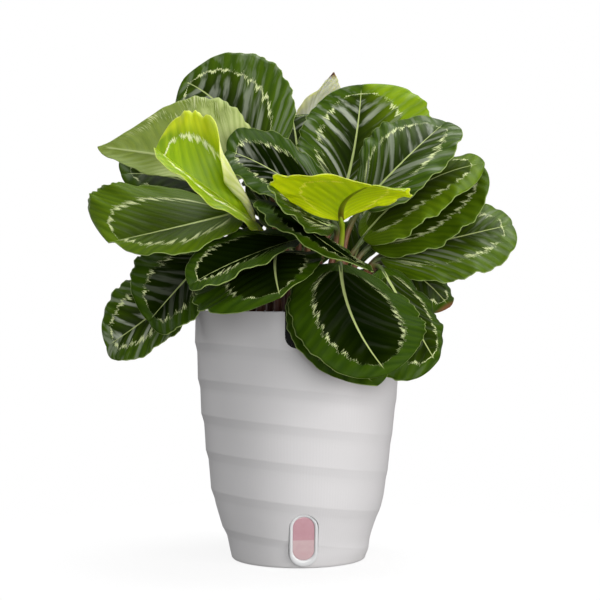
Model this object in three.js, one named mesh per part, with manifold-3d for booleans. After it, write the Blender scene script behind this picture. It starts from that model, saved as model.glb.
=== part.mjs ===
// A potted calathea: a leafy plant with ringed leaves in a white self-watering pot.
// Millimetres, +Z up. The origin is the centre of the pot's flat base, and the front faces -Y.

import * as THREE from 'three';
import { mergeVertices } from 'three/addons/utils/BufferGeometryUtils.js';
import Module from 'manifold-3d';

const wasm = await Module();
wasm.setup();

// ---------------------------------------------------------------- driving dimensions

const GAP = 0.3; // left between pieces that touch

const POT = {
  height: 184.4,
  wall: 2.2,
  sides: 40,
  outer: [[49, 0], [50.5, 3], [53.4, 16.5], [58.1, 30], [62.2, 42], [66, 64], [69.7, 93],
    [72.2, 113], [74, 132], [76.8, 169], [77.5, 184.4]], // radius, height
  floor: 3,
  ledge: { top: 43, under: 39.5, radius: 54 },
};

// The outside is rolled into tilted bands. Each flares out to its lower edge and falls back below it.
const BANDS = {
  edges: [15.5, 43.5, 72.5, 99.5, 125.5, 152.5], // mean heights of the lower edges
  tilt: 8.7, // rise and fall of an edge round the pot
  highSide: 205, // degrees, where an edge is highest
  step: 1.3,
  strongSide: 225, // degrees, where the steps are deepest
};

const NOTCH = { azimuth: -86, halfWidth: 14.7, depth: 26, corner: 8.5 };

const WINDOW = {
  azimuth: -86.2, height: 21.2, tilt: 9,
  outer: [20.5, 39.4], pane: [15, 31.4], paneLift: 1.2,
  proud: 1.5, depth: 4.4, paneDepth: 1.6, paneSet: 0.8,
};

const LINER = { rim: 182.5, wall: 1.4, floor: 43.4, footRadius: 16, footBottom: 6, slots: 6 };

const SOIL = { edge: 175, crown: 183, sides: 28, lump: 0.9 };

const PETIOLE = { foot: 2.6, neck: 1.7, sides: 6, steps: 4, depth: 14, under: 0.13 };

const BLADE = { thickness: 0.8, rows: 9, across: 4, wave: 1.7, waves: 3, belly: 2, round: 0.86,
  flat: 1 / 3 };

const CROWN = [5, 0]; // where the stems spread from
const STEM_SPACING = 13.5;

// Each leaf is a curved midrib through base, mid and tip, with the widest point of its left and right
// half, seen from its upper side with the tip away. Taper narrows a half to the tip, and neck both to
// the base. Curl rolls a half's outer part towards the upper side, in degrees, near the base; tipCurl
// does so near the tip. Stem is where the stalk stands in the soil, unless placeStems chooses.
const FRONT_LEAVES = [
  // low, over the rim
  { base: [30, -57, 218], mid: [37, -100, 180], tip: [60, -118, 143],
    left: [84, -92, 180], right: [-4, -98, 178] },
  { base: [17, -64, 205], mid: [22, -90, 168], tip: [54, -100, 134],
    left: [57, -82, 170], right: [-7, -84, 173], taper: [0, 0.6] },
  { base: [60, -45, 215], mid: [79, -61, 180], tip: [97, -67, 148],
    left: [97, -36, 187], right: [47, -84, 156] },
  { base: [68, 15, 221], mid: [92, 10, 209], tip: [113, 0, 187],
    left: [104, 33, 216], right: [79, -12, 192], taper: [0.6, 0] },
  { base: [-77, 4, 208], mid: [-109, -15, 181], tip: [-141, -22, 158],
    left: [-99, -32, 161], right: [-128, -5, 207] },
  { base: [-68, -15, 224], mid: [-87, -38, 201], tip: [-107, -50, 177],
    left: [-70, -62, 185], right: [-115, -30, 225] },
  { base: [-16, -46, 226], mid: [-16, -88, 212], tip: [-12, -125, 194],
    left: [17, -62, 222], right: [-70, -95, 192], taper: [1, 0] },
  { base: [0, -35, 236], mid: [-39, -75, 221], tip: [-74, -105, 202],
    left: [-34, -105, 213], right: [-54, -47, 239] },
  // middle
  { base: [61, -10, 224], mid: [111, -15, 237], tip: [158, -15, 248],
    left: [121, 15, 261], right: [121, -43, 209], taper: [0.3, 0] },
  { base: [-45, -17, 257], mid: [-88, -50, 244], tip: [-135, -58, 233],
    left: [-79, -80, 226], right: [-138, -38, 275], taper: [2.5, 0] },
  { base: [-14, -22, 262], mid: [15, -65, 235], tip: [49, -105, 212],
    left: [31, -61, 228], right: [-18, -85, 245], taper: [0.5, 0.1] },
  { base: [53, -10, 233], mid: [98, -5, 263], tip: [138, -5, 292],
    left: [95, 28, 279], right: [113, -32, 239] },
  { base: [47, -20, 238], mid: [87, -20, 275], tip: [137, -20, 293],
    left: [81, 12, 289], right: [92, -54, 250] },
  { base: [26, -29, 246], mid: [6, -66, 252], tip: [-18, -100, 270],
    left: [-1, -98, 246], right: [12, -36, 247] },
  { base: [31, -47, 249], mid: [33, -80, 262], tip: [49, -120, 269],
    left: [76, -80, 265], right: [-18, -88, 274], young: true, taper: [0.3, 1.2], neck: 1.1,
    stem: [38, -36] },
  { base: [-32, -24, 249], mid: [-65, -52, 272], tip: [-102, -50, 300],
    left: [-65, -86, 263], right: [-65, -45, 323], young: true, taper: [0.5, 0], curl: [0, 290],
    across: 12 },
  { base: [-45, 20, 264], mid: [-89, 22, 284], tip: [-135, 15, 288],
    left: [-90, 0, 258], right: [-89, 45, 311] },
  // high
  { base: [25, -8, 253], mid: [-13, -12, 284], tip: [-53, -14, 303],
    left: [-26, -46, 269], right: [-10, 10, 314] },
  { base: [47, -25, 262], mid: [77, -28, 294], tip: [110, -5, 325],
    left: [56, -2, 318], right: [98, -52, 282] },
  { base: [-40, 10, 289], mid: [-93, 0, 299], tip: [-149, -12, 306],
    left: [-66, 18, 346], right: [-94, -12, 283], taper: [2.6, 0.5] },
  { base: [-30, 22, 300], mid: [-58, 32, 340], tip: [-90, 40, 363],
    left: [-90, 28, 312], right: [-16, 38, 371], taper: [0.1, 0.7] },
  { base: [35, 18, 276], mid: [44, 30, 316], tip: [49, 42, 360],
    left: [1, 24, 317], right: [102, 32, 323], taper: [0, 0.3] },
  { base: [5, 38, 279], mid: [7, 68, 328], tip: [28, 64, 373],
    left: [-2, 88, 320], right: [27, 80, 336], taper: [2.6, 1.2], tipCurl: [200, 0] },
];

// The leaves of the far side spread from the crown by a rule: azimuth in degrees, radius and height
// of base and tip, half width and arch.
const BACK_LEAVES = [
  [96, 56, 204, 118, 160, 40, 16],
  [132, 50, 222, 122, 194, 38, 14],
  [60, 50, 205, 125, 190, 35, 15],
  [168, 56, 224, 112, 218, 28, 8],
  [20, 66, 230, 128, 232, 28, 6],
  [90, 45, 215, 80, 270, 30, 5],
  [124, 46, 253, 114, 270, 34, 14],
  [145, 50, 245, 120, 245, 35, 10],
  [45, 50, 215, 85, 265, 25, 5],
  [100, 22, 285, 62, 338, 33, 8],
  [130, 30, 240, 60, 285, 20, 5],
];

// ---------------------------------------------------------------- solids

const V = (x, y, z) => new THREE.Vector3(x, y, z);
const radians = THREE.MathUtils.degToRad;

function solid(geometry) {
  const plain = geometry.clone();
  plain.deleteAttribute('normal');
  plain.deleteAttribute('uv');
  const merged = mergeVertices(plain, 1e-5);
  return new wasm.Manifold(new wasm.Mesh({
    numProp: 3,
    vertProperties: new Float32Array(merged.attributes.position.array),
    triVerts: new Uint32Array(merged.index.array),
  }));
}

function toGeometry(manifold) {
  const mesh = manifold.getMesh();
  const geometry = new THREE.BufferGeometry();
  geometry.setAttribute('position', new THREE.BufferAttribute(mesh.vertProperties, 3));
  geometry.setIndex(new THREE.BufferAttribute(mesh.triVerts, 1));
  geometry.computeVertexNormals();
  return geometry;
}

// A closed skin over rings of points. A ring of one point closes an end.
function skin(rings) {
  const position = [];
  const index = [];
  const starts = [];
  for (const ring of rings) {
    starts.push(position.length / 3);
    for (const p of ring) {
      position.push(p.x, p.y, p.z);
    }
  }
  const at = (i, j) => starts[i] + (rings[i].length === 1 ? 0 : j % rings[i].length);
  for (let i = 0; i + 1 < rings.length; i += 1) {
    const n = Math.max(rings[i].length, rings[i + 1].length);
    for (let j = 0; j < n; j += 1) {
      if (rings[i + 1].length > 1) {
        index.push(at(i, j), at(i + 1, j + 1), at(i + 1, j));
      }
      if (rings[i].length > 1) {
        index.push(at(i, j), at(i, j + 1), at(i + 1, j + 1));
      }
    }
  }
  const geometry = new THREE.BufferGeometry();
  geometry.setAttribute('position', new THREE.Float32BufferAttribute(position, 3));
  geometry.setIndex(index);
  return geometry;
}

// Height to radius along a profile of [radius, height] points.
function radiusAt(profile, z) {
  let i = 1;
  while (i < profile.length - 1 && profile[i][1] < z) {
    i += 1;
  }
  const [r0, z0] = profile[i - 1];
  const [r1, z1] = profile[i];
  return r0 + (r1 - r0) * (z - z0) / (z1 - z0);
}

// Axes of a piece set in the pot's wall: across, up the wall and outward.
function wallFrame(azimuth, tilt, point) {
  const a = radians(azimuth);
  const t = radians(tilt);
  const across = V(-Math.sin(a), Math.cos(a), 0);
  const out = V(Math.cos(a) * Math.cos(t), Math.sin(a) * Math.cos(t), -Math.sin(t));
  const up = out.clone().cross(across);
  return new THREE.Matrix4().makeBasis(across, up, out).setPosition(point);
}

function stadium(width, height, lift = 0) {
  const r = width / 2;
  const straight = height / 2 - r;
  const shape = new THREE.Shape();
  shape.absarc(0, lift + straight, r, 0, Math.PI, false);
  shape.absarc(0, lift - straight, r, Math.PI, 2 * Math.PI, false);
  shape.closePath();
  return shape;
}

function extrude(shape, depth, curveSegments) {
  return new THREE.ExtrudeGeometry(shape, { depth, bevelEnabled: false, curveSegments });
}

// ---------------------------------------------------------------- pot

function bandEdge(mean, azimuth) {
  return mean + BANDS.tilt * Math.cos(radians(azimuth - BANDS.highSide));
}

function bandStep(azimuth) {
  return BANDS.step * (0.62 + 0.38 * Math.cos(radians(azimuth - BANDS.strongSide)));
}

function potRing(heightAt, flareAt) {
  return Array.from({ length: POT.sides }, (_, j) => {
    const azimuth = 360 * j / POT.sides;
    const z = heightAt(azimuth);
    const r = radiusAt(POT.outer, z) + flareAt * bandStep(azimuth);
    return V(r * Math.cos(radians(azimuth)), r * Math.sin(radians(azimuth)), z);
  });
}

function circle(radius, z, sides = POT.sides) {
  return Array.from({ length: sides }, (_, j) => {
    const a = 2 * Math.PI * j / sides;
    return V(radius * Math.cos(a), radius * Math.sin(a), z);
  });
}

const innerRadius = (z) => radiusAt(POT.outer, z) - POT.wall;

function outerPot() {
  const rings = [[V(0, 0, 0)], circle(49, 0), circle(50.5, 3)];
  for (const mean of BANDS.edges) {
    rings.push(potRing((a) => Math.max(bandEdge(mean, a) - 7, 4), 0));
    rings.push(potRing((a) => bandEdge(mean, a) - 0.7, 0.85));
    rings.push(potRing((a) => bandEdge(mean, a) + 0.5, 1));
  }
  rings.push(circle(POT.outer.at(-1)[0], POT.height));
  for (const z of [POT.height, 132, 93, 64]) {
    rings.push(circle(innerRadius(z), z));
  }
  rings.push(circle(innerRadius(POT.ledge.top), POT.ledge.top));
  rings.push(circle(POT.ledge.radius, POT.ledge.top));
  rings.push(circle(POT.ledge.radius, POT.ledge.under));
  rings.push(circle(innerRadius(36), 36));
  rings.push(circle(innerRadius(16.5), 16.5));
  rings.push(circle(innerRadius(POT.floor), POT.floor));
  rings.push([V(0, 0, POT.floor)]);
  const shell = solid(skin(rings));
  const geometry = toGeometry(shell.subtract(notchCutter()).subtract(windowCutter()));
  return mesh('outer_pot', geometry, 0xe4e3e5, 0.42);
}

function notchCutter() {
  const { azimuth, halfWidth: w, depth, corner: r } = NOTCH;
  const shape = new THREE.Shape();
  shape.moveTo(-w, 10);
  shape.lineTo(-w, r - depth);
  shape.absarc(r - w, r - depth, r, Math.PI, 1.5 * Math.PI, false);
  shape.absarc(w - r, r - depth, r, 1.5 * Math.PI, 2 * Math.PI, false);
  shape.lineTo(w, 10);
  shape.closePath();
  const cutter = extrude(shape, 30, 5);
  cutter.applyMatrix4(wallFrame(azimuth, 0, radialPoint(azimuth, 60, POT.height)));
  return solid(cutter);
}

function radialPoint(azimuth, radius, z) {
  return V(radius * Math.cos(radians(azimuth)), radius * Math.sin(radians(azimuth)), z);
}

function windowPlace(outward) {
  const frame = wallFrame(WINDOW.azimuth, WINDOW.tilt, V(0, 0, 0));
  const face = radialPoint(WINDOW.azimuth, radiusAt(POT.outer, WINDOW.height), WINDOW.height);
  const out = V(0, 0, outward).applyMatrix4(frame);
  return frame.setPosition(face.add(out));
}

function windowCutter() {
  const [w, h] = WINDOW.outer;
  const cutter = extrude(stadium(w + 2 * GAP, h + 2 * GAP), 20, 8);
  cutter.applyMatrix4(windowPlace(-10));
  return solid(cutter);
}

function windowFrame() {
  const shape = stadium(...WINDOW.outer);
  const [w, h] = WINDOW.pane;
  shape.holes.push(stadium(w + 2 * GAP, h + 2 * GAP, WINDOW.paneLift));
  const geometry = extrude(shape, WINDOW.depth, 8);
  geometry.applyMatrix4(windowPlace(WINDOW.proud - WINDOW.depth));
  return mesh('window_frame', toGeometry(solid(geometry)), 0xf1f0f1, 0.25);
}

function windowPane() {
  const geometry = extrude(stadium(...WINDOW.pane, WINDOW.paneLift), WINDOW.paneDepth, 8);
  geometry.applyMatrix4(windowPlace(WINDOW.proud - WINDOW.paneSet - WINDOW.paneDepth));
  return mesh('window_pane', toGeometry(solid(geometry)), 0xd6aeb4, 0.2);
}

// The liner holds the soil. It stands on the pot's ledge, and its foot reaches down to the water.
function linerPot() {
  const { rim, wall, floor, footRadius: foot, footBottom: bottom } = LINER;
  const clear = (z) => innerRadius(z) - GAP;
  const points = [
    [0, bottom], [foot, bottom], [foot, floor], [clear(floor) - 2, floor], [clear(64) - 2, 64],
    [clear(132) - 1, 132], [clear(rim), rim],
    [clear(rim) - wall, rim], [clear(132) - 1 - wall, 132], [clear(64) - 2 - wall, 64],
    [clear(floor) - 2 - wall, floor + wall], [foot - wall, floor + wall], [foot - wall, bottom + wall],
    [0, bottom + wall],
  ];
  const profile = points.map(([r, z]) => new THREE.Vector2(r, z));
  profile.push(profile[0].clone());
  let body = solid(lathe(profile, POT.sides));
  for (let k = 0; k < LINER.slots; k += 1) {
    const turn = 360 * k / LINER.slots + 15;
    body = body.subtract(slot([3, 6, 24], 15.5, 24, turn));
    body = body.subtract(slot([8, 3, 6], 34, floor, turn + 30));
  }
  return mesh('liner_pot', toGeometry(body), 0x141414, 0.5);
}

function lathe(profile, sides) {
  const geometry = new THREE.LatheGeometry(profile, sides);
  geometry.rotateX(Math.PI / 2);
  return geometry;
}

function slot([along, across, height], radius, z, azimuth) {
  const box = new THREE.BoxGeometry(along, across, height);
  box.translate(radius, 0, z);
  box.rotateZ(radians(azimuth));
  return solid(box);
}

// ---------------------------------------------------------------- soil

function soilHeight(r, azimuth) {
  const edge = innerRadius(SOIL.edge) - 3;
  const mound = SOIL.edge + (SOIL.crown - SOIL.edge) * Math.cos(Math.min(r / edge, 1) * Math.PI / 2);
  const a = radians(azimuth);
  const lumps = Math.sin(r * 0.31 + 3 * a) * Math.cos(r * 0.19 - 5 * a + 1);
  return mound + SOIL.lump * lumps * Math.min(1, r / 10);
}

function soil(stems) {
  const wall = 2 * GAP + LINER.wall;
  const ring = (r, z) => circle(r, z, SOIL.sides);
  const side = (z, step) => ring(innerRadius(z) - wall - step, z);
  const foot = LINER.footRadius - LINER.wall - GAP;
  const floor = LINER.floor + LINER.wall + GAP;
  const sole = LINER.footBottom + LINER.wall + GAP;
  const rings = [[V(0, 0, sole)], ring(foot, sole), ring(foot, floor)];
  rings.push(side(floor, 2.4), side(64, 2.2), side(132, 1.2), side(SOIL.edge - 1, 0.8));
  for (const r of [62, 50, 36, 22, 9]) {
    rings.push(ring(r, 0).map((p) => {
      const azimuth = THREE.MathUtils.radToDeg(Math.atan2(p.y, p.x));
      return V(p.x, p.y, soilHeight(r, azimuth));
    }));
  }
  rings.push([V(0, 0, SOIL.crown)]);
  let body = solid(skin(rings));
  for (const stem of stems) {
    const radius = PETIOLE.foot + GAP / Math.cos(Math.PI / PETIOLE.sides);
    const bottom = stem.foot.clone().setZ(stem.foot.z - GAP);
    const mouth = stem.foot.clone().setZ(SOIL.crown + 5);
    body = body.subtract(solid(tube([bottom, mouth], [radius, radius])));
  }
  return mesh('soil', toGeometry(body), 0x2b1c17, 0.95);
}

// ---------------------------------------------------------------- leaves

function backLeaf([azimuth, baseRadius, baseZ, tipRadius, tipZ, half, arch]) {
  const a = radians(azimuth);
  const place = (r, side, z) => [
    CROWN[0] + r * Math.cos(a) + side * Math.sin(a),
    CROWN[1] + r * Math.sin(a) - side * Math.cos(a),
    z,
  ];
  const midRadius = (baseRadius + tipRadius) / 2;
  const midZ = (baseZ + tipZ) / 2 + arch;
  return {
    base: place(baseRadius, 0, baseZ),
    mid: place(midRadius, 0, midZ),
    tip: place(tipRadius, 0, tipZ),
    left: place(midRadius, -half, midZ + 5),
    right: place(midRadius, half, midZ + 5),
  };
}

// Midrib point and axes at t, from 0 at the base to 1 at the tip.
function midrib(leaf) {
  const corners = [leaf.base, leaf.mid, leaf.tip, leaf.left, leaf.right];
  const [base, mid, tip, left, right] = corners.map((p) => V(...p));
  const bend = mid.clone().multiplyScalar(2).addScaledVector(base, -0.5).addScaledVector(tip, -0.5);
  const curve = new THREE.QuadraticBezierCurve3(base, bend, tip);
  const chord = tip.clone().sub(base).normalize();
  const up = right.clone().sub(left).cross(chord).normalize();
  const side = chord.clone().cross(up);
  const parts = (p) => {
    const d = p.clone().sub(mid);
    return [d.dot(chord), d.dot(side), d.dot(up)];
  };
  const frame = (t) => {
    const along = base.clone().lerp(bend, t).sub(bend.clone().lerp(tip, t)).normalize().negate();
    const normal = up.clone().addScaledVector(along, -up.dot(along)).normalize();
    return { point: curve.getPoint(t), along, normal, across: along.clone().cross(normal) };
  };
  return { frame, halves: [parts(left), parts(right)] };
}

// A point of the blade's middle surface: u runs from base to tip, v from -1 (left) to 1 (right).
function bladePoint(leaf, rib, u, v) {
  const t = (1 - Math.cos(Math.PI * u)) / 2;
  const { point, along, normal, across } = rib.frame(t);
  const k = v < 0 ? 0 : 1;
  const sign = v < 0 ? -1 : 1;
  const a = Math.abs(v);
  const [shift, out, lift] = rib.halves[k];
  const reach = Math.hypot(out, lift);
  const start = Math.atan2(lift, sign * out);
  const wide = Math.sin(Math.PI * u) ** (BLADE.round * (1 + leaf.taper[k] * t + leaf.neck * (1 - t)));
  const roll = radians(leaf.curl[k]) * Math.max(0, 1 - (t / 0.52) ** 2)
    + radians(leaf.tipCurl[k]) * Math.max(0, (t - 0.4) / 0.6) || 1e-4;
  const flat = Math.min(a, BLADE.flat);
  const end = start + roll * (a - flat) / (1 - BLADE.flat);
  const bend = (1 - BLADE.flat) / roll;
  const x = flat * Math.cos(start) + bend * (Math.sin(end) - Math.sin(start));
  const y = flat * Math.sin(start) + bend * (Math.cos(start) - Math.cos(end));
  const wave = BLADE.wave * a ** 2.5 * Math.sin(Math.PI * u) ** 0.6
    * Math.sin(2 * Math.PI * BLADE.waves * t + 2.1 * (leaf.seed + 1.7 * k));
  const rise = wave + BLADE.belly * 4 * a * (1 - a) * wide;
  return point.clone()
    .addScaledVector(along, wide * a * shift)
    .addScaledVector(across, sign * (wide * reach * x - rise * Math.sin(end)))
    .addScaledVector(normal, wide * reach * y + rise * Math.cos(end));
}

// The blade is two skins a thickness apart, joined round the margin.
function bladeSolid(leaf, rib) {
  const rows = BLADE.rows;
  const across = leaf.across;
  const grid = [];
  for (let i = 0; i <= rows; i += 1) {
    const pole = i === 0 || i === rows;
    const row = [];
    for (let j = 0; j <= (pole ? 0 : across); j += 1) {
      row.push(bladePoint(leaf, rib, i / rows, pole ? 0 : 2 * j / across - 1));
    }
    grid.push(row);
  }
  const count = grid.reduce((n, row) => n + row.length, 0);
  const start = [];
  grid.reduce((n, row) => start.push(n) && n + row.length, 0);
  const at = (i, j) => start[i] + Math.min(j, grid[i].length - 1);
  const faces = [];
  for (let i = 0; i < rows; i += 1) {
    for (let j = 0; j < across; j += 1) {
      if (i > 0) {
        faces.push([at(i, j), at(i, j + 1), at(i + 1, j + 1)]);
      }
      if (i + 1 < rows) {
        faces.push([at(i, j), at(i + 1, j + 1), at(i + 1, j)]);
      }
    }
  }
  const points = grid.flat();
  const normals = points.map(() => V(0, 0, 0));
  for (const [a, b, c] of faces) {
    const n = points[b].clone().sub(points[a]).cross(points[c].clone().sub(points[a]));
    [a, b, c].forEach((k) => normals[k].add(n));
  }
  const lift = BLADE.thickness / 2;
  const upper = points.map((p, k) => p.clone().addScaledVector(normals[k].normalize(), lift));
  const under = points.map((p, k) => p.clone().addScaledVector(normals[k], -lift));
  const index = faces.flatMap(([a, b, c]) => [a, b, c, a + count, c + count, b + count]);
  const rim = [];
  for (let i = 0; i <= rows; i += 1) {
    rim.push(at(i, across));
  }
  for (let i = rows - 1; i > 0; i -= 1) {
    rim.push(at(i, 0));
  }
  rim.forEach((a, k) => {
    const b = rim[(k + 1) % rim.length];
    index.push(b, a, a + count, b, a + count, b + count);
  });
  const geometry = new THREE.BufferGeometry();
  const flat = [...upper, ...under].flatMap((p) => [p.x, p.y, p.z]);
  geometry.setAttribute('position', new THREE.Float32BufferAttribute(flat, 3));
  geometry.setIndex(index);
  return solid(geometry);
}

// A closed tube through points, with a radius at each.
function tube(points, radii) {
  const rings = [[points[0]]];
  let side = V(1, 0, 0);
  points.forEach((p, i) => {
    const ahead = points[Math.min(i + 1, points.length - 1)];
    const behind = points[Math.max(i - 1, 0)];
    const along = ahead.clone().sub(behind).normalize();
    side = side.clone().addScaledVector(along, -side.dot(along)).normalize();
    const other = along.clone().cross(side);
    rings.push(Array.from({ length: PETIOLE.sides }, (_, j) => {
      const a = 2 * Math.PI * j / PETIOLE.sides;
      const [x, y] = [radii[i] * Math.cos(a), radii[i] * Math.sin(a)];
      return p.clone().addScaledVector(side, x).addScaledVector(other, y);
    }));
  });
  rings.push([points.at(-1)]);
  return skin(rings);
}

// The stalk stands in the soil, arches over to the blade and runs on a little way under its midrib.
function petioleSolid(leaf, rib) {
  const start = rib.frame(0);
  const ground = leaf.foot.clone().setZ(leaf.foot.z + PETIOLE.depth + 3);
  const reach = ground.distanceTo(start.point);
  const neckSink = (t) => {
    const f = rib.frame(t);
    return f.point.clone().addScaledVector(f.normal, -PETIOLE.neck * 0.6);
  };
  const end = neckSink(0);
  const curve = new THREE.CubicBezierCurve3(
    ground,
    ground.clone().add(V(0, 0, reach * 0.45)),
    end.clone().addScaledVector(start.along, -reach * leaf.lean),
    end,
  );
  const points = [leaf.foot, ...curve.getPoints(PETIOLE.steps), neckSink(PETIOLE.under)];
  const radii = points.map((_, i) => {
    const f = Math.max(0, i - 1) / PETIOLE.steps;
    return i <= 1 ? PETIOLE.foot : THREE.MathUtils.lerp(PETIOLE.foot, PETIOLE.neck, Math.min(f, 1));
  });
  radii[radii.length - 1] = 0.8;
  return solid(tube(points, radii));
}

// Each stem takes the free place of a triangular lattice that is nearest to its leaf's side.
function placeStems(leaves) {
  const places = [];
  for (let i = -5; i <= 5; i += 1) {
    for (let j = -5; j <= 5; j += 1) {
      const x = CROWN[0] + STEM_SPACING * (i + (j % 2 ? 0.5 : 0));
      const y = CROWN[1] + STEM_SPACING * j * Math.sqrt(3) / 2;
      if (Math.hypot(x, y) < 56) {
        places.push(V(x, y, 0));
      }
    }
  }
  for (const leaf of leaves) {
    const inward = THREE.MathUtils.clamp(0.88 - 0.005 * (leaf.base[2] - 205), 0.35, 0.88);
    const [x, y] = leaf.stem ?? [leaf.base[0] * inward, leaf.base[1] * inward];
    const want = V(x, y, 0);
    places.sort((p, q) => p.distanceTo(want) - q.distanceTo(want));
    const place = places.shift();
    const azimuth = THREE.MathUtils.radToDeg(Math.atan2(place.y, place.x));
    leaf.foot = place.setZ(soilHeight(Math.hypot(place.x, place.y), azimuth) - PETIOLE.depth);
  }
}

function leafNodes() {
  const leaves = [...FRONT_LEAVES, ...BACK_LEAVES.map(backLeaf)].map((leaf, i) => ({
    taper: [0, 0], neck: 0, curl: [0, 0], tipCurl: [0, 0], across: BLADE.across, lean: 0.35,
    seed: i + 1, ...leaf,
  }));
  placeStems(leaves);
  const nodes = leaves.map((leaf, i) => {
    const rib = midrib(leaf);
    const body = bladeSolid(leaf, rib).add(petioleSolid(leaf, rib));
    const name = `leaf_${String(i + 1).padStart(2, '0')}`;
    return mesh(name, toGeometry(body), leaf.young ? 0x9ac21a : 0x2f5a26, 0.38);
  });
  return { nodes, leaves };
}

// ---------------------------------------------------------------- scene graph

function mesh(name, geometry, color, roughness) {
  const material = new THREE.MeshStandardMaterial({ color, roughness, metalness: 0 });
  const node = new THREE.Mesh(geometry, material);
  node.name = name;
  return node;
}

const pot = new THREE.Group();
pot.name = 'pot';
pot.add(outerPot(), windowFrame(), windowPane(), linerPot());

const { nodes, leaves } = leafNodes();
const plant = new THREE.Group();
plant.name = 'plant';
plant.add(soil(leaves), ...nodes);

const calathea = new THREE.Group();
calathea.name = 'potted_calathea';
calathea.add(pot, plant);

export default calathea;
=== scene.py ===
import math

import bpy
import numpy as np
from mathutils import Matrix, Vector, noise


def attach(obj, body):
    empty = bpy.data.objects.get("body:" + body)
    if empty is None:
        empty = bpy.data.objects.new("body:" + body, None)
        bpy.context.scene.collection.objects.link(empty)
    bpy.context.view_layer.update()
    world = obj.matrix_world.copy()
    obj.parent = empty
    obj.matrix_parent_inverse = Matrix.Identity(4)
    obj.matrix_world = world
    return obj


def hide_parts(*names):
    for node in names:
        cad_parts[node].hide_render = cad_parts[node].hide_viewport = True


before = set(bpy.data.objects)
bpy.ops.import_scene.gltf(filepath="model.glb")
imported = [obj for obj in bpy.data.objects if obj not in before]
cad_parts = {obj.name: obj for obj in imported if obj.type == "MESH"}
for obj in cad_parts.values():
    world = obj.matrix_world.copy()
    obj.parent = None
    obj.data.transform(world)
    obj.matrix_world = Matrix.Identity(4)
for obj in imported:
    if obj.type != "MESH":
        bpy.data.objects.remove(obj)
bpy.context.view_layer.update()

MM = 0.001
GAP = 0.3

# ---- sizes, in millimetres and degrees

POT_HEIGHT = 184.4
POT_WALL = 2.2
POT_PROFILE = [(49, 0), (50.5, 3), (53.4, 16.5), (58.1, 30), (62.2, 42), (66, 64), (69.7, 93),
               (72.2, 113), (74, 132), (76.8, 169), (77.5, 184.4)]
BAND_EDGES = [15.5, 43.5, 72.5, 99.5, 125.5, 152.5]
BAND_TILT, BAND_HIGH, BAND_STEP, BAND_STRONG = 8.7, 205, 1.3, 225
BAND_FALL, BAND_END, LIP_BELOW, LIP_ABOVE, LIP_SHARE = 7, 176, 0.7, 0.5, 0.85
LEDGE_RADIUS, LEDGE_TOP, LEDGE_UNDER, POT_FLOOR = 54, 43, 39.5, 3
NOTCH_AZIMUTH, NOTCH_HALF_WIDTH, NOTCH_DEPTH, NOTCH_CORNER = -86, 14.7, 26, 8.5
LINER_RIM, LINER_WALL, LINER_FLOOR, LINER_FOOT, LINER_BOTTOM = 182.5, 1.4, 43.4, 16, 6
SOIL_EDGE, SOIL_CROWN, SOIL_LUMP = 175, 183, 0.9
CRUMB_HEIGHT, CRUMB_SCALE, GRIT_HEIGHT, GRIT_SCALE = 1.3, 0.16, 0.5, 0.7
PETIOLE_FOOT, PETIOLE_NECK, PETIOLE_DEPTH, PETIOLE_UNDER = 2.6, 1.7, 14, 0.13
PETIOLE_SINK, PETIOLE_RISE = 5.0, 3.0
KNUCKLE_PLACE, KNUCKLE_LENGTH, KNUCKLE_SWELL = 0.93, 0.035, 0.22
WINDOW_AZIMUTH, WINDOW_TILT, WINDOW_HEIGHT, WINDOW_OUTER = -86.2, 9, 21.2, (20.5, 39.4)
PANE, PANE_LIFT, WATER_LINE = (15, 31.4), 1.2, 21.8
# the window's frame and pane: steps from the outer to the inner outline, and how far out of the wall
FRAME_PROFILE = [(0, -2.9), (0, 0.3), (0.05, 0.85), (0.17, 1.25), (0.35, 1.46), (0.54, 1.5), (0.73, 1.4),
                 (0.87, 1.15), (0.96, 0.85), (1, 0.6), (1, -2.9)]
PANE_PROFILE = [(0, -0.9), (0, 0.35), (0.03, 0.5), (0.1, 0.56), (0.4, 0.64), (1, 0.7)]
CROWN = (5.0, 0.0)
STEM_SPACING, STEM_LIMIT = 13.5, 56

# the camera, the width that it sees at the object, and the sheet below the object
CAMERA_RIGHT, CAMERA_DISTANCE, CAMERA_HEIGHT, VIEW_WIDTH, SENSOR = 1.1, 1100, 192.4, 450, 36
STAGE_HALF, STAGE_DROP = 1500, 0.3

# ---- shape of a blade

# the share of each half that never curls, the power of the outline, the distance between veins, and
# how high the blade's forms stand in millimetres. The scallops are shares of its half width
FLAT = 1 / 3
OUTLINE_POWER = 0.86
VEIN_SPACING = 11.5
CUP, WAVE, RIPPLE, GROOVE, RIDGE = 4, 1.7, 0.75, 0.55, 0.9
SCALLOP, SCALLOP_COARSE, SCALLOP_FINE = 0.020, 0.020, 0.014
# how far out the pale ring runs, how much that differs, its middle, and how long it is
RING_OUT, RING_SWAY, RING_CENTRE, RING_LENGTH = 0.62, 0.05, 0.48, 0.84
# rows and columns of a blade, and steps and sides of its stalk
FRONT_DETAIL, BACK_DETAIL = (84, 40, 22, 12), (56, 28, 14, 8)
SEED_STEP = 7.3
TURN = 6.2832

# the base, middle and tip of the midrib, and the middle of the left and the right margin
POINTS = ("base", "mid", "tip", "left", "right")

# What a leaf can say besides its points, and the values of a plain leaf.
# taper, curl and tipcurl, for the left and the right half: narrower to the tip, and degrees of curl
# neck: narrower to the base. fold: height of the folds. lean: slant of the veins
# dark, painted sheen, lime, pale, peek and tipbrown: how strong each part of the look is. The painted sheen
# is grey streaks along the folds, painted into the colour for the lamps' reflection
# two_tone: lime on the right half only. young and rolled: a leaf with materials of its own
PLAIN_LEAF = dict(taper=(0, 0), neck=0, curl=(0, 0), tipcurl=(0, 0), fold=0.42, lean=0.85, dark=0.3,
                  painted_sheen=0.3, lime=0.0, pale=0.0, peek=0, tipbrown=0, two_tone=False, young=False,
                  rolled=False)

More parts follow.
